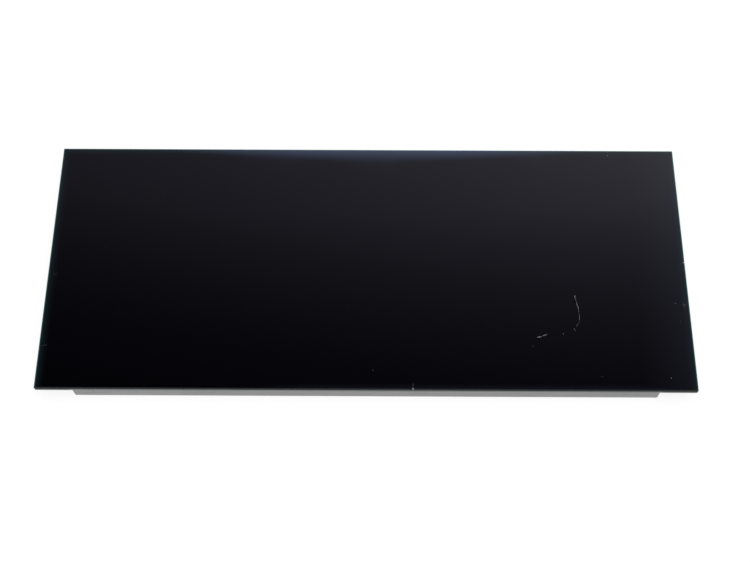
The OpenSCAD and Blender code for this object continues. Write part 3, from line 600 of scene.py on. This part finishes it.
def finish_mesh(mesh, name, materials):
    """Turns a bmesh into a piece that rides on the panel."""
    made = new_object(mesh, name, materials)
    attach(made, ROOT)
    return made


# Cover glass

def edge_samples(length, chips):
    """Places along one straight edge, closer together where a chip is."""
    steps = round(length / EDGE_STEP)
    places = [k * length / steps for k in range(steps)]
    for centre, half, _ in chips:
        places = [p for p in places if abs(p - centre) > half * CHIP_CLEAR]
        places += [centre + half * (k / CHIP_STEPS) for k in range(-CHIP_STEPS - 1, CHIP_STEPS + 2)]
    return sorted(places)


def outline(size_x, size_y):
    """Points round the glass: (point, way in, outward normal in a corner, chip depth)."""
    half_x = size_x / 2
    half_y = size_y / 2
    wide = size_x - 2 * CORNER_RUN
    deep = size_y - 2 * CORNER_RUN
    # each edge runs anticlockwise: its start, direction and length
    edges = {
        "bottom": (Vector((-half_x + CORNER_RUN, -half_y)), Vector((1, 0)), wide),
        "right": (Vector((half_x, -half_y + CORNER_RUN)), Vector((0, 1)), deep),
        "top": (Vector((half_x - CORNER_RUN, half_y)), Vector((-1, 0)), wide),
        "left": (Vector((-half_x, half_y - CORNER_RUN)), Vector((0, -1)), deep),
    }
    points = []
    for name, (start, along, length) in edges.items():
        outward = Vector((along.y, -along.x))
        chips = []
        for edge, place, half, depth in CHIPS:
            if edge == name:
                at = Vector((place * MM, 0)) if along.x else Vector((0, place * MM))
                chips.append(((at - start).dot(along), half * MM, depth * MM))
        for s in edge_samples(length, chips):
            depth = 0.0
            for centre, half, deepest in chips:
                reach = 1 - ((s - centre) / half) ** 2
                depth = max(depth, deepest * math.sqrt(reach) if reach > 0 else 0.0)
            points.append((start + along * s, -outward, None, depth))
        corner = start + along * (length + CORNER_RUN)
        for k in range(CORNER_STEPS + 1):
            turn = math.radians(90 * k / CORNER_STEPS)
            normal = outward * math.cos(turn) + along * math.sin(turn)
            points.append((corner, -outward - along, normal, 0.0))
    return points


def cover_glass():
    """The plate with its ground edges and chips. Its faces lie a hair inside the solid's."""
    low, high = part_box("cover_glass")
    points = outline(high.x - low.x, high.y - low.y)
    bottom = low.z + SKIN
    top = high.z - SKIN
    mesh = bmesh.new()

    def ring(inset, z, sink=0.0, eat=0.0):
        """One loop of the profile. In a chip it goes down by sink and in by eat times its depth."""
        made = []
        for point, inward, normal, depth in points:
            at = point + inward * (inset + eat * depth)
            if normal:
                radius = max(CORNER_R - inset, CORNER_LEAST_R)
                at += inward * radius + normal * radius
            made.append(mesh.verts.new((at.x, at.y, z - sink * depth)))
        return made

    def cap(loop, z):
        """Closes a loop with a border of triangles round one large rectangle."""
        corners = rectangle(high.x - FACE_BORDER, high.y - FACE_BORDER)
        inner = [mesh.verts.new((x, y, z)) for x, y in corners]
        edges = [mesh.edges.new((inner[k], inner[(k + 1) % 4])) for k in range(4)]
        edges += [mesh.edges.get((loop[i], loop[(i + 1) % len(loop)])) for i in range(len(loop))]
        bmesh.ops.triangle_fill(mesh, edges=edges, use_beauty=True, normal=(0, 0, 1))
        mesh.faces.new(inner)

    backed, ground, broken = 0, 1, 2
    # the profile's loops from the bottom up, with the material above each: where whole, in a chip
    profile = [
        (ring(CHAMFER, bottom), ground, ground),
        (ring(0.0, bottom + CHAMFER), ground, ground),
        (ring(0.0, top - CHAMFER - SHOULDER, sink=0.3), ground, broken),
        (ring(0.0, top - CHAMFER, sink=1.0, eat=0.35), backed, broken),
        (ring(CHAMFER, top, sink=0.55, eat=0.75), backed, broken),
        (ring(SHOULDER, top), backed, backed),
    ]
    count = len(points)
    for (lower, whole, in_chip), (upper, _, _) in zip(profile, profile[1:]):
        for i in range(count):
            j = (i + 1) % count
            face = mesh.faces.new((lower[i], lower[j], upper[j], upper[i]))
            chipped = points[i][3] > 0 or points[j][3] > 0
            face.material_index = in_chip if chipped else whole
    cap(profile[-1][0], top)
    cap(profile[0][0], bottom)
    bmesh.ops.recalc_face_normals(mesh, faces=mesh.faces)
    chip = fracture("chip_fracture", (0.10, 0.12, 0.12), (0.24, 0.27, 0.27))
    plate = finish_mesh(mesh, "cover_glass_plate", [backed_glass(), ground_glass(), chip])
    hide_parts("cover_glass")


# Marks on the glass

def ribbon(mesh, points, widths, z, rng, wobble):
    """A thin ragged strip through the points, which breaks up into crumbs along the way."""
    fine = []
    for k in range(len(points) - 1):
        a = Vector(points[k])
        b = Vector(points[k + 1])
        steps = max(2, round((b - a).length / MARK_STEP))
        for s in range(steps):
            t = s / steps
            fine.append((a.lerp(b, t), widths[k] * (1 - t) + widths[k + 1] * t))
    fine.append((Vector(points[-1]), widths[-1]))
    last = None
    for k, (point, width) in enumerate(fine):
        ahead = fine[min(k + 1, len(fine) - 1)][0] - fine[max(k - 1, 0)][0]
        side = Vector((-ahead.y, ahead.x)).normalized()
        point = point + side * rng.uniform(-wobble, wobble)
        half = side * width * rng.uniform(0.25, 0.75)
        pair = (mesh.verts.new((*(point + half), z)), mesh.verts.new((*(point - half), z)))
        if last and rng.random() > BREAK_ODDS:
            mesh.faces.new((last[1], pair[1], pair[0], last[0]))
        last = pair
        if rng.random() < STRAY_ODDS:
            stray = point + side * rng.uniform(-1, 1) * width
            speck(mesh, stray.x, stray.y, width * rng.uniform(1.2, 2.4), z, rng)
    loose = [v for v in mesh.verts if not v.link_faces]
    bmesh.ops.delete(mesh, geom=loose, context="VERTS")


def speck(mesh, x, y, size, z, rng):
    """A flat crumb with an uneven outline."""
    rim = []
    for k in range(SPECK_POINTS):
        turn = 2 * math.pi * k / SPECK_POINTS
        r = size / 2 * rng.uniform(0.6, 1.15)
        rim.append(mesh.verts.new((x + r * math.cos(turn), y + r * math.sin(turn), z)))
    mesh.faces.new(rim)


def streak(mesh, start, end, width, z, rng):
    """A short mark that thins towards both ends."""
    middle = [(start[0] + end[0]) / 2, (start[1] + end[1]) / 2]
    points = [tuple(v * MM for v in p) for p in (start, middle, end)]
    widths = [width * MM * 0.5, width * MM, width * MM * 0.5]
    ribbon(mesh, points, widths, z, rng, STREAK_WOBBLE)


def face_marks():
    """The long scratch with its dashes and pits, and the hairlines and dust that only just show."""
    rng = random.Random(MARKS_SEED)
    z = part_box("cover_glass")[1].z - SKIN / 3
    mesh = bmesh.new()
    path = [(x * MM, y * MM) for x, y, _ in SCRATCH]
    widths = [width * MM for _, _, width in SCRATCH]
    ribbon(mesh, path, widths, z, rng, SCRATCH_WOBBLE)
    for start, end, width in DASHES:
        streak(mesh, start, end, width, z, rng)
    for x, y, size in PITS:
        speck(mesh, x * MM, y * MM, size * MM, z, rng)
    in_clear_view = len(mesh.faces)
    for start, end, width in HAIRLINES:
        streak(mesh, start, end, width, z, rng)
    for x, y, size in DUST:
        speck(mesh, x * MM, y * MM, size * MM, z, rng)
    mesh.faces.ensure_lookup_table()
    for face in mesh.faces[in_clear_view:]:
        face.material_index = 1     # the faint one
    clear_tone = fracture("scratch", (0.10, 0.11, 0.11), (0.24, 0.25, 0.25))
    faint_tone = fracture("hairline", (0.03, 0.033, 0.035), (0.07, 0.075, 0.08))
    marks = finish_mesh(mesh, "face_scratches", [clear_tone, faint_tone])


# Studio

def floor():
    """A white sweep. What looks at it sees white with the object's soft shadow."""
    material, tree, shader = new_material("white_floor")
    shader.inputs["Base Color"].default_value = (0.97, 0.97, 0.97, 1)
    shader.inputs["Roughness"].default_value = 0.9
    shader.inputs["Specular IOR Level"].default_value = 0.0
    glow = node(tree, "ShaderNodeEmission")
    glow.inputs["Color"].default_value = (1, 1, 1, 1)
    # away from the object the sweep clears to plain white
    away = node(tree, "ShaderNodeVectorMath", operation="LENGTH")
    link(tree, object_coordinates(tree), away.inputs[0])
    plain = remap(tree, away.outputs["Value"], *FLOOR_CLEARS, FLOOR_GLOW_NEAR, 1.0)
    seen = either(tree, "Is Camera Ray", "Is Glossy Ray", "Is Transmission Ray")
    share = math_node(tree, "MULTIPLY", seen, plain)
    lit = mix_shaders(tree, share, shader.outputs[0], glow.outputs[0])
    # from below the sweep lets the panel's back be seen, and the lower lamp's light come up to it
    below = node(tree, "ShaderNodeNewGeometry").outputs["Backfacing"]
    open_to = math_node(tree, "MAXIMUM", below, either(tree, "Is Shadow Ray"))
    clear = node(tree, "ShaderNodeBsdfTransparent")
    surface = mix_shaders(tree, open_to, lit, clear.outputs[0])
    link(tree, surface, tree.nodes["Material Output"].inputs["Surface"])
    mesh = bmesh.new()
    corners = rectangle(FLOOR_REACH, FLOOR_REACH)
    mesh.faces.new([mesh.verts.new((x, y, -FLOOR_DROP)) for x, y in corners])
    made = new_object(mesh, "floor", [material])


def room_colour(tree, direction):
    """What gloss sees: a white room with a dark ceiling that clears towards the back and the
    right."""
    at = axes(tree, direction)
    toward = node(tree, "ShaderNodeVectorMath", operation="DOT_PRODUCT")
    link(tree, direction, toward.inputs[0])
    toward.inputs[1].default_value = CEILING_TOWARD
    short = math_node(tree, "SUBTRACT", toward.outputs["Value"], CEILING_FULL)
    rise = math_node(tree, "MULTIPLY", short, CEILING_GROWTH)
    ceiling = math_node(tree, "MINIMUM", math_node(tree, "EXPONENT", rise), 1.0)
    high_back = remap(tree, at["Y"], *HIGH_BACK, 1.0, HIGH_BACK_LIGHT)
    ceiling = math_node(tree, "MULTIPLY", ceiling, high_back)
    walls = remap(tree, at["Z"], *WALLS_END, 1.0, 0.0)
    walls.node.interpolation_type = "SMOOTHSTEP"
    camera_side = remap(tree, at["Y"], *CAMERA_SIDE, CAMERA_SIDE_LIGHT, 1.0)
    room = math_node(tree, "MAXIMUM", ceiling, math_node(tree, "MULTIPLY", walls, camera_side))
    tone = blend_colours(tree, ceiling, CEILING_DARK, CEILING_LIGHT)
    tone = blend_colours(tree, walls, tone, (1.0, 1.0, 1.0))
    # a bluish skylight high up at the back, whose front rim the glass just catches
    near_rim = remap(tree, at["Y"], *SKYLIGHT_NEAR, 0.0, SKYLIGHT_LIGHT)
    far_rim = remap(tree, at["Y"], *SKYLIGHT_FAR, 1.0, 0.0)
    ends = remap(tree, math_node(tree, "ABSOLUTE", at["X"]), *SKYLIGHT_ENDS, 1.0, 0.0)
    sky = math_node(tree, "MULTIPLY", math_node(tree, "MULTIPLY", near_rim, far_rim), ends)
    total = node(tree, "ShaderNodeVectorMath", operation="ADD")
    link(tree, scaled(tree, tone, room), total.inputs[0])
    link(tree, scaled(tree, SKYLIGHT_TINT, sky), total.inputs[1])
    return total.outputs["Vector"]


def world():
    """Matt surfaces get soft light from above the horizon, gloss sees the room, and the camera
    plain white."""
    made = bpy.data.worlds.new("studio")
    made.use_nodes = True
    bpy.context.scene.world = made
    tree = made.node_tree
    tree.nodes.clear()
    direction = node(tree, "ShaderNodeTexCoord").outputs["Generated"]
    soft, mirrored, plain = [node(tree, "ShaderNodeBackground") for _ in range(3)]
    for shader in (soft, plain):
        shader.inputs["Color"].default_value = (1, 1, 1, 1)
    strength = remap(tree, axes(tree, direction)["Z"], *HORIZON, 0.0, SOFT_LIGHT)
    link(tree, strength, soft.inputs["Strength"])
    link(tree, room_colour(tree, direction), mirrored.inputs["Color"])
    gloss = either(tree, "Is Glossy Ray", "Is Transmission Ray")
    surface = mix_shaders(tree, gloss, soft.outputs[0], mirrored.outputs[0])
    surface = mix_shaders(tree, either(tree, "Is Camera Ray"), surface, plain.outputs[0])
    link(tree, surface, node(tree, "ShaderNodeOutputWorld").inputs["Surface"])


def softbox(name, at, power):
    """A square lamp aimed at the panel, which gloss doesn't see."""
    lamp = bpy.data.lights.new(name, "AREA")
    lamp.shape = "SQUARE"
    lamp.size = LAMP_SIZE
    lamp.energy = power
    made = bpy.data.objects.new(name, lamp)
    made.location = at
    made.rotation_euler = (-Vector(at)).to_track_quat("-Z", "Y").to_euler()
    made.visible_glossy = False
    bpy.context.scene.collection.objects.link(made)


def camera():
    data = bpy.data.cameras.new("camera")
    data.sensor_fit = "HORIZONTAL"
    data.sensor_width = SENSOR_MM
    data.lens = FOCAL_PX / PHOTO_WIDTH_PX * SENSOR_MM
    data.clip_start = 0.01
    made = bpy.data.objects.new("camera", data)
    made.rotation_mode = "ZYX"
    made.rotation_euler = Euler([math.radians(a) for a in CAMERA_TURN_DEG], "ZYX")
    made.location = CAMERA_AT
    bpy.context.scene.collection.objects.link(made)
    bpy.context.scene.camera = made


bpy.context.scene.view_settings.view_transform = "Standard"
camera()
world()
softbox("key", *KEY_LAMP)
softbox("under", *UNDER_LAMP)
floor()
dress_nodes()
cover_glass()
face_marks()
